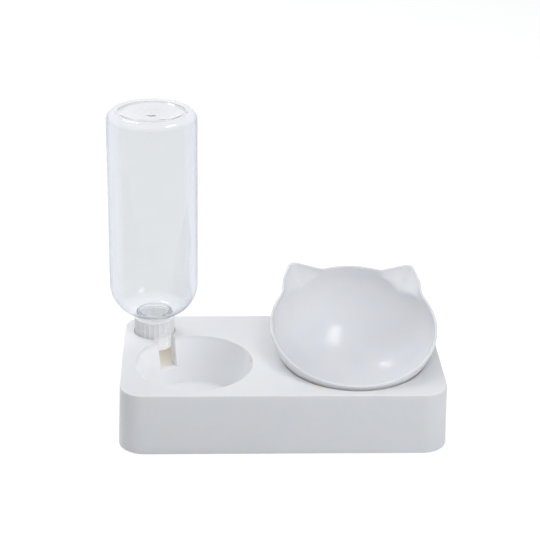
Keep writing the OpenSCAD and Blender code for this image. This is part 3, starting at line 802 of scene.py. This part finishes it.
def build_base():
    deck_mid = DECK_Z - WALL / 2
    feet = [(BASE_X + sx * (DECK_W / 2 - CORNER_R), BASE_Y + sy * (DECK_D / 2 - CORNER_R))
            for sx in (-1, 1) for sy in (-1, 1)]
    cup_r = WATER_R + WALL / math.cos(math.radians(WATER_DRAFT))
    water_cup = water_profile(WALL) + [(cup_r, deck_mid), (0, deck_mid)]
    body = leaning_block("base_body", DECK_W, DECK_D, CORNER_R, WALL_H, BASE_Z)
    inner = leaning_block("inner", DECK_W - 2 * WALL, DECK_D - 2 * WALL, CORNER_R - WALL,
                          WALL_H + OVER - WALL, BASE_Z - OVER)
    discs = [drum("disc", CORNER_R - DISC_INSET, BASE_Z, BASE_Z + DISC_H, x, y, segments=96)
             for x, y in feet]
    pockets = [drum("pocket", FOOT_R + FOOT_GAP, BASE_Z - OVER, BASE_Z + FOOT_H / 2, x, y,
                    segments=64) for x, y in feet]
    steps = [("DIFFERENCE", inner)] + [("UNION", disc) for disc in discs] + [
        ("UNION", turned("water_cup", water_cup, WATER_X, WATER_Y, segments=160)),
        ("UNION", drum("niche_cup", NICHE_R + WALL, NICHE_FLOOR - WALL, deck_mid,
                       NICHE_X, NICHE_Y)),
        ("UNION", slot_tool(WALL, NICHE_FLOOR - WALL, deck_mid)),
        ("UNION", drum("well_cup", WELL_R + WALL, WELL_FLOOR - WALL, deck_mid,
                       WELL_X, WELL_Y, segments=192)),
        ("DIFFERENCE", turned("water", water_profile(0) + rim_profile(WATER_R, RIM),
                              WATER_X, WATER_Y, segments=192)),
        ("DIFFERENCE", hollow("niche", NICHE_X, NICHE_Y, NICHE_R, NICHE_FLOOR, NICHE_FILLET,
                              NICHE_EDGE, segments=128)),
        ("DIFFERENCE", slot_tool(0, NICHE_FLOOR, DECK_Z + CLEAR)),
        ("DIFFERENCE", hollow("well", WELL_X, WELL_Y, WELL_R, WELL_FLOOR, WELL_FILLET, RIM,
                              segments=224)),
    ] + [("DIFFERENCE", pocket) for pocket in pockets]
    cut(body, steps)
    core = tilted_drum("core", SEAT_R - WALL, BOWL_FOOT - CORE_LENGTH, BOWL_FOOT - WALL)
    return cut(body, [("UNION", build_seat()), ("DIFFERENCE", core),
                      ("UNION", build_ledge()), ("UNION", build_pin())])


piece(build_base(), "base_body", "base", base_mat, ["base_shell"],
      sharp=30, weighted=True)


def build_foot(node):
    lo, hi = box_mm(node)
    x, y, h = (lo[0] + hi[0]) / 2, (lo[1] + hi[1]) / 2, hi[2]
    dent = [(0, DENT_H), (DENT_R, DENT_H), (DENT_EDGE_R, 0)]
    edge = arc(FOOT_R - FOOT_EDGE, FOOT_EDGE, FOOT_EDGE, -90, 0, steps=5)
    top = [(FOOT_R, h - FOOT_CHAMFER), (FOOT_R - FOOT_CHAMFER, h), (0, h)]
    return turned(node + "_pad", dent + edge + top, x, y, segments=64)


for corner in ("front_left", "front_right", "back_left", "back_right"):
    piece(build_foot("foot_" + corner), "pad_" + corner, "base", foot_mat,
          ["foot_" + corner])


# ---------------------------------------------------------------- food bowl
def nearest_on(tri, p):
    """Squared distance from points p to a triangle."""
    a, b, c = tri
    ab, ac, ap = b - a, c - a, p - a
    d1, d2 = ap @ ab, ap @ ac
    d3, d4 = (p - b) @ ab, (p - b) @ ac
    d5, d6 = (p - c) @ ab, (p - c) @ ac
    va, vb, vc = d3 * d6 - d5 * d4, d5 * d2 - d1 * d6, d1 * d4 - d3 * d2
    total = np.where(np.abs(va + vb + vc) < NEAR_ZERO, NEAR_ZERO, va + vb + vc)
    v, w = vb / total, vc / total
    q = a + v[:, None] * ab + w[:, None] * ac

    inside = (va >= 0) & (vb >= 0) & (vc >= 0)
    out = ~inside
    best = np.full(len(p), np.inf)
    best[inside] = ((p - q)[inside] ** 2).sum(1)
    for origin, edge, num in ((a, ab, d1), (a, ac, d2), (b, c - b, (p - b) @ (c - b))):
        t = num / (edge @ edge)
        e = origin + np.clip(t, 0, 1)[:, None] * edge
        d = ((p - e) ** 2).sum(1)
        best[out] = np.minimum(best[out], d[out])
    return best


def on_circle(r, angle):
    return np.array([r * math.cos(math.radians(angle)), r * math.sin(math.radians(angle))])


def ear_corners(side):
    """Tip, inner end, outer end, bow of the outer edge and low corner of an ear's core."""
    low_r = (BOWL_R - EAR_ROUND) * (1 - (EAR_DEPTH / (BOWL_DEPTH - RING_H)) ** FULL) ** (1 / FULL)
    reach, rim = EAR_REACH - EAR_ROUND, BOWL_R - EAR_ROUND
    tip, end = on_circle(reach, EAR_TIP), on_circle(rim, EAR_OUT)
    run = (end - tip) / np.linalg.norm(end - tip)
    bow = (tip + end) / 2 + EAR_BOW * np.array([run[1], -run[0]])

    def at(r, angle, z=0):
        return np.append(on_circle(r, 90 - side * angle + TURN), z)
    return [at(reach, EAR_TIP), at(rim, EAR_IN), at(rim, EAR_OUT),
            at(np.hypot(*bow), math.degrees(math.atan2(bow[1], bow[0]))),
            at(low_r, EAR_LOW, -EAR_DEPTH)]


def ear_reach(directions, origin, round_r):
    """How far each ray runs until it leaves an ear, or 0 where it misses both."""
    best = np.zeros(len(directions))
    for side in EAR_SIDES:
        tip, inner, outer, bow, low = ear_corners(side)
        faces = [(tip, inner, low), (tip, bow, low), (bow, outer, low), (inner, outer, low),
                 (tip, inner, outer), (tip, bow, outer)]
        middle = (tip + inner + outer + low) / 4
        use = np.nonzero(directions @ (middle / np.linalg.norm(middle)) > RAY_CONE)[0]
        d = directions[use]
        t = np.full(len(use), RAY_FROM)
        gap = np.zeros(len(use))
        for _ in range(RAY_STEPS):
            p = origin + t[:, None] * d
            gap = np.sqrt(np.min([nearest_on(f, p) for f in faces], axis=0)) - round_r
            t = t - gap
        t = np.where((np.abs(gap) < RAY_HIT) & (t > RAY_LEAST), t, 0)
        best[use] = np.maximum(best[use], t)
    return best


def soft_max(a, b, k):
    """The greater of a and b, rounded over about k where they are alike."""
    high, low = np.maximum(a, b), np.minimum(a, b)
    return high + k * np.log1p(np.exp(np.clip((low - high) / k, LEAST_POWER, 0)))


def bowl_columns():
    """Directions of the bowl's columns, closer together near the ears."""
    angles, a = [], 0.0
    while a < 360:
        angles.append(a)
        off = abs((a - TURN - 90 + 180) % 360 - 180)
        a += COLUMN_FINE if EAR_FROM < off < EAR_TO else COLUMN_WIDE
    return np.radians(angles)


def bowl_skin(rows, phi, origin, inset):
    """Points of the bowl's outside, or of its inside when inset by the wall."""
    r, d = BOWL_R - inset, BOWL_DEPTH - RING_H - inset - BOWL_WALL / 2
    e, p = np.meshgrid(rows, phi, indexing="ij")
    directions = np.stack([np.cos(e) * np.cos(p), np.cos(e) * np.sin(p), -np.sin(e)], -1)
    across, down = np.cos(e) / r, np.sin(np.maximum(e, LEAST_ANGLE)) / d
    body = (across ** FULL + down ** FULL) ** (-1 / FULL)
    ears = ear_reach(directions.reshape(-1, 3), origin, EAR_ROUND - inset).reshape(e.shape)
    t = np.where(ears > 0, soft_max(body, ears, EAR_BLEND), body)
    if inset:
        for passes, lowest in SMOOTHING:
            for _ in range(passes):
                rounder = (np.roll(t, 1, 1) + np.roll(t, -1, 1) + 2 * t) / 4
                rounder[1:-1] = (rounder[:-2] + rounder[2:] + 2 * rounder[1:-1]) / 4
                t = np.where(rows[:, None] < math.radians(lowest), rounder, t)
    return origin + t[..., None] * directions


def build_bowl():
    phi = bowl_columns()
    rows = np.radians(np.concatenate([np.arange(*part) for part in BOWL_ROWS]))
    origin = np.array([0, 0, -BOWL_WALL / 2])
    n = len(phi)
    outer = bowl_skin(rows, phi, origin, 0)
    inner = bowl_skin(rows, phi, origin, BOWL_WALL)
    verts, rings = [], []

    def ring(points):
        verts.extend(points)
        rings.append(list(range(len(verts) - n, len(verts))))

    # From the middle of the foot outwards, up the outside, over the brim and down the inside
    circle = np.stack([np.cos(phi), np.sin(phi)], -1)
    foot = [(RING_R + r, BOWL_FOOT + z) for r, z in RING_OUTSIDE]
    foot += [(RING_R - RING_W + r, BOWL_FOOT + z) for r, z in RING_INSIDE]
    foot += [(RING_CENTRE, BOWL_FOOT + RING_H)]
    for r, z in reversed(foot):
        ring(np.column_stack([r * circle, np.full(n, z)]))
    for skin in reversed(outer):
        if np.hypot(skin[:, 0], skin[:, 1]).min() > RING_R + RING_CLEAR:
            ring(skin)
    mid, half = (outer[0] + inner[0]) / 2, (outer[0] - inner[0]) / 2
    for a in np.radians(np.arange(BRIM_STEP, 180, BRIM_STEP)):
        brim = mid + half * math.cos(a)
        brim[:, 2] = -BOWL_WALL / 2 * (1 - math.sin(a))
        ring(brim)
    for skin in inner[:-1]:
        ring(skin)
    faces = side_faces(rings, n)
    verts.append((0, 0, BOWL_FOOT + RING_H))
    verts.append(tuple(inner[-1][0]))
    for j in range(n):
        k = (j + 1) % n
        faces.append([len(verts) - 2, rings[0][k], rings[0][j]])
        faces.append([len(verts) - 1, rings[-1][j], rings[-1][k]])
    return make("food_bowl_body", verts, faces, bowl_frame)


piece(build_bowl(), "food_bowl_body", "bowl", bowl_mat, ["food_bowl"], sharp=60)


# ---------------------------------------------------------------- bottle
def bottle_profile():
    """The closed section of the bottle's wall, from the mouth up the outside and back inside."""
    collar_z = CAP_TOP + COLLAR_GAP
    sx, sz = BOTTLE_R - SHOULDER_R, MOUTH_Z + NECK_H + SHOULDER_R
    fx, fz = BOTTLE_R - BOTTOM_R, BOTTLE_TOP - BOTTOM_R
    throat = math.degrees(math.acos((NECK_R - sx) / SHOULDER_R))
    in_r, in_neck = SHOULDER_R - BOTTLE_WALL, NECK_R - NECK_WALL
    in_throat = math.degrees(math.acos((in_neck - sx) / in_r))
    punt_r, punt_z = fx - BOTTLE_WALL, BOTTLE_TOP - PUNT_DEPTH

    neck = [(NECK_R - LIP_EDGE, MOUTH_Z), (NECK_R, MOUTH_Z + LIP_EDGE),
            (NECK_R, collar_z - COLLAR_BLEND), (NECK_R + COLLAR_BLEND, collar_z)]
    collar = [p for z, a in ((COLLAR_EDGE, -90), (COLLAR_H - COLLAR_EDGE, 0))
              for p in arc(COLLAR_R - COLLAR_EDGE, collar_z + z, COLLAR_EDGE, a, a + 90, steps=4)]
    collar += [(NECK_R + COLLAR_EDGE, collar_z + COLLAR_H),
               (NECK_R, collar_z + COLLAR_H + COLLAR_EDGE)]
    skin = arc(sx, sz, SHOULDER_R, -throat + THROAT_TURN, 0, steps=40)
    skin += arc(fx, fz, BOTTOM_R, 0, 90, steps=18)
    punt = arc(punt_r, BOTTLE_TOP - PUNT_EDGE, PUNT_EDGE, *PUNT_ARC, steps=6)
    punt += [(punt_r - r, punt_z + z) for r, z in PUNT_OUTSIDE] + [(PUNT_FLAT, punt_z + PUNT_RISE)]
    radii = [NUB_R * k / NUB_STEPS for k in range(NUB_STEPS, -1, -1)]
    nub = [(r, punt_z + NUB_H * (1 + math.cos(math.pi * r / NUB_R)) / 2) for r in radii]

    inside = [(0, punt_z - BOTTLE_WALL), (PUNT_FLAT, punt_z - BOTTLE_WALL + PUNT_RISE_INSIDE)]
    inside += [(punt_r - r, punt_z + z) for r, z in PUNT_INSIDE]
    inside += arc(fx, fz, BOTTOM_R - BOTTLE_WALL, PUNT_ARC_INSIDE, 0, steps=16)
    inside += arc(sx, sz, in_r, 0, -in_throat, steps=40)
    inside += [(in_neck, MOUTH_Z + LIP_CHAMFER), (in_neck + LIP_CHAMFER, MOUTH_Z)]
    return neck + collar + skin + punt + nub + inside


def thread_mesh(name, r, h, from_z):
    """A thread that runs once round a wall; h below zero stands it into a bore."""
    root = r - math.copysign(TOOTH_SINK, h)
    loops = []
    for i in range(THREAD_STEPS + 1):
        t = i / THREAD_STEPS
        grow = min(1.0, FADE_RATE * min(t, 1 - t) + FADE_LEAST)
        a, z = math.radians(THREAD_FROM + 360 * t), from_z + PITCH * t
        crest = r + h * grow
        tooth = ((root, -TOOTH_ROOT), (crest, -TOOTH_CREST), (crest + h * TOOTH_CROWN * grow, 0),
                 (crest, TOOTH_CREST), (root, TOOTH_ROOT))
        loops.append([(q * math.cos(a), q * math.sin(a), z + dz) for q, dz in tooth])
    return lofted(name, loops, Matrix.Translation((NICHE_X, NICHE_Y, 0)))


bottle = turned("bottle_body", bottle_profile(), NICHE_X, NICHE_Y, segments=192, closed=True)
join(bottle, thread_mesh("thread", NECK_R, THREAD_H, NECK_THREAD_Z))
piece(bottle, "bottle_body", "bottle", bottle_mat, ["bottle"], sharp=50)
bottle.visible_shadow = False


# ---------------------------------------------------------------- cap
def build_ribs():
    """All ribs of the skirt, in one tool that ends inside the band."""
    reach, top = CAP_R - RIB_INSET - RIB_R, CAP_TOP - BAND + SINK
    foot = CAP_Z + CAP_EDGE
    section = [(0, foot), (RIB_R - RIB_EDGE, foot)]
    section += arc(RIB_R - RIB_EDGE, foot + RIB_EDGE, RIB_EDGE, -90, 0, steps=3)
    section += [(RIB_R, top), (0, top)]
    ribs = []
    for i in range(RIBS):
        a = 2 * math.pi * i / RIBS
        ribs.append(turned("rib", section, NICHE_X + reach * math.cos(a),
                           NICHE_Y + reach * math.sin(a), segments=24))
    return join(*ribs)


def build_cage():
    """The tube that holds the valve, open through windows near the cap's floor."""
    low, top = CAP_FLOOR - SINK, CAP_FLOOR + CAGE_H
    section = [(CAGE_IN, low), (CAGE_OUT, low), (CAGE_OUT, top - CAGE_EDGE),
               (CAGE_OUT - CAGE_EDGE, top), (CAGE_SEAT_R, top), (CAGE_SEAT_R, top - CAGE_SEAT_H),
               (CAGE_IN, top - CAGE_SEAT_H)]
    cage = turned("cage", section, NICHE_X, NICHE_Y, segments=96, closed=True)
    heights = (CAP_FLOOR + WINDOW_LOW, CAP_FLOOR + WINDOW_HIGH)
    window = box_loops(WINDOW_IN, WINDOW_OUT, -WINDOW_HALF, WINDOW_HALF, heights)
    windows = []
    for i in range(WINDOWS):
        turn = Matrix.Rotation(2 * math.pi * (i + 0.5) / WINDOWS, 4, "Z")
        windows.append(lofted("window", window, Matrix.Translation((NICHE_X, NICHE_Y, 0)) @ turn))
    return cut(cage, [("DIFFERENCE", join(*windows))])


def build_cap():
    skirt, band_z = CAP_R - SKIRT_STEP, CAP_TOP - BAND
    section = [(0, CAP_Z), (skirt - CAP_EDGE, CAP_Z)]
    section += arc(skirt - CAP_EDGE, CAP_Z + CAP_EDGE, CAP_EDGE, -90, 0, steps=5)
    section += [(skirt, band_z - BAND_CHAMFER), (CAP_R - BAND_CHAMFER, band_z),
                (CAP_R, band_z + BAND_TAPER)]
    section += arc(CAP_R - SMALL_EDGE, CAP_TOP - SMALL_EDGE, SMALL_EDGE, 0, 90, steps=4)
    section += [(0, CAP_TOP)]
    body = turned("cap", section, NICHE_X, NICHE_Y, segments=192)
    mouth_r, above = CAP_BORE + MOUTH_CHAMFER, CAP_TOP + CLEAR
    bore = turned("bore", [(0, CAP_FLOOR), (CAP_BORE, CAP_FLOOR),
                           (CAP_BORE, CAP_TOP - MOUTH_CHAMFER), (mouth_r, CAP_TOP),
                           (mouth_r, above), (0, above)], NICHE_X, NICHE_Y, segments=160)
    ribs, cage = build_ribs(), build_cage()
    outlet = drum("outlet", OUTLET_R, CAP_Z - CLEAR, CAP_FLOOR + OVER,
                  NICHE_X, NICHE_Y, segments=64)
    relief = drum("relief", RELIEF_R, CAP_FLOOR - RELIEF_DEPTH, CAP_FLOOR + OVER,
                  NICHE_X, NICHE_Y, segments=64)
    cut(body, [("UNION", ribs), ("DIFFERENCE", bore), ("UNION", cage), ("DIFFERENCE", outlet),
               ("DIFFERENCE", relief)])
    return join(body, thread_mesh("cap_thread", CAP_BORE, -THREAD_H, CAP_THREAD_Z))


piece(build_cap(), "cap_body", "cap", cap_mat, ["cap_shell"],
      sharp=30, weighted=True)

# The seal and the valve's parts keep their CAD shapes
for node, material in (("neck_seal", seal_mat), ("valve_stem", valve_mat),
                       ("valve_washer", washer_mat), ("valve_spring", spring_mat),
                       ("spring_retainer", valve_mat)):
    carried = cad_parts[node]
    for s in carried.material_slots:
        s.material = material
    if not carried.material_slots:
        carried.data.materials.append(material)


# ---------------------------------------------------------------- stage
def seen_or_lit(tree, lit, seen):
    """The shader seen where the camera looks, in mirror images and through glass; else lit."""
    path = shader(tree, "LightPath").outputs
    direct = combine(tree, "MAXIMUM", path["Is Camera Ray"], path["Is Glossy Ray"])
    either = combine(tree, "MAXIMUM", direct, path["Is Transmission Ray"])
    mix = shader(tree, "MixShader")
    tree.links.new(either, mix.inputs["Fac"])
    tree.links.new(lit.outputs[0], mix.inputs[1])
    tree.links.new(seen.outputs[0], mix.inputs[2])
    return mix.outputs[0]


def grey(value):
    return (value, value, value, 1)


def floor_material():
    """White to the camera, yet the object's shadow still falls on it."""
    m = bpy.data.materials.new("floor_white")
    m.use_nodes = True
    tree = m.node_tree
    tree.nodes.clear()
    glow = shader(tree, "Emission", Color=grey(1), Strength=FLOOR_GLOW)
    faint = shader(tree, "BsdfDiffuse", Color=grey(FLOOR_FAINT))
    plain = shader(tree, "BsdfDiffuse", Color=grey(FLOOR_PLAIN))
    both = shader(tree, "AddShader")
    tree.links.new(glow.outputs[0], both.inputs[0])
    tree.links.new(faint.outputs[0], both.inputs[1])
    out = shader(tree, "OutputMaterial")
    tree.links.new(seen_or_lit(tree, plain, both), out.inputs["Surface"])
    return m


def studio_world():
    """A faint cool fill that shows as plain white."""
    world = bpy.data.worlds.new("studio")
    world.use_nodes = True
    tree = world.node_tree
    tree.nodes.clear()
    fill = shader(tree, "Background", Color=FILL_COLOUR, Strength=FILL)
    white = shader(tree, "Background", Color=grey(1), Strength=BACKDROP)
    out = shader(tree, "OutputWorld")
    tree.links.new(seen_or_lit(tree, fill, white), out.inputs["Surface"])
    return world


corners = [(x * FLOOR_HALF, y * FLOOR_HALF, 0) for x, y in ((-1, -1), (1, -1), (1, 1), (-1, 1))]
floor = make("floor", corners, [[0, 1, 2, 3]], Matrix.Scale(MM, 4))
floor.data.materials.append(floor_material())
scene.world = studio_world()


def softbox(name, at, aim, size, power, colour, roll=0):
    data = bpy.data.lights.new(name, "AREA")
    data.shape = "RECTANGLE"
    data.size, data.size_y = size
    data.energy = power
    data.color = colour
    lamp = bpy.data.objects.new(name, data)
    lamp.location = at
    facing = (Vector(aim) - Vector(at)).to_track_quat("-Z", "Y").to_matrix()
    lamp.rotation_euler = (facing @ Matrix.Rotation(math.radians(roll), 3, "Z")).to_euler()
    scene.collection.objects.link(lamp)
    return lamp


for settings in HIGHLIGHTS:
    softbox(*settings)
for name, at, size, power, colour in SOFT_LAMPS:
    lamp = softbox(name, at, SOFT_AIM, size, power, colour)
    lamp.visible_glossy = lamp.visible_transmission = False


# ---------------------------------------------------------------- camera
def photo_camera():
    """The camera that a fit to the base's edges in the photograph gives."""
    pitch, yaw, roll = (math.radians(a) for a in (PITCH_DOWN, YAW, ROLL))
    ahead = Vector((math.sin(yaw) * math.cos(pitch), math.cos(yaw) * math.cos(pitch),
                    -math.sin(pitch)))
    level = Vector((math.cos(yaw), -math.sin(yaw), 0))
    upright = level.cross(ahead)
    right = level * math.cos(roll) + upright * math.sin(roll)
    up = -level * math.sin(roll) + upright * math.cos(roll)
    data = bpy.data.cameras.new("photo")
    data.sensor_fit, data.sensor_width = "HORIZONTAL", SENSOR
    data.lens = SENSOR * FOCAL_PIXELS / PHOTO_PIXELS
    data.clip_end = CLIP_END
    cam = bpy.data.objects.new("photo", data)
    turn = Matrix((right, up, -ahead)).transposed().to_4x4()
    spot = Vector((CAMERA_X, CAMERA_Y, CAMERA_Z)) * MM
    cam.matrix_world = Matrix.Translation(spot) @ turn
    scene.collection.objects.link(cam)
    return cam


scene.camera = photo_camera()
scene.view_settings.view_transform = "Standard"
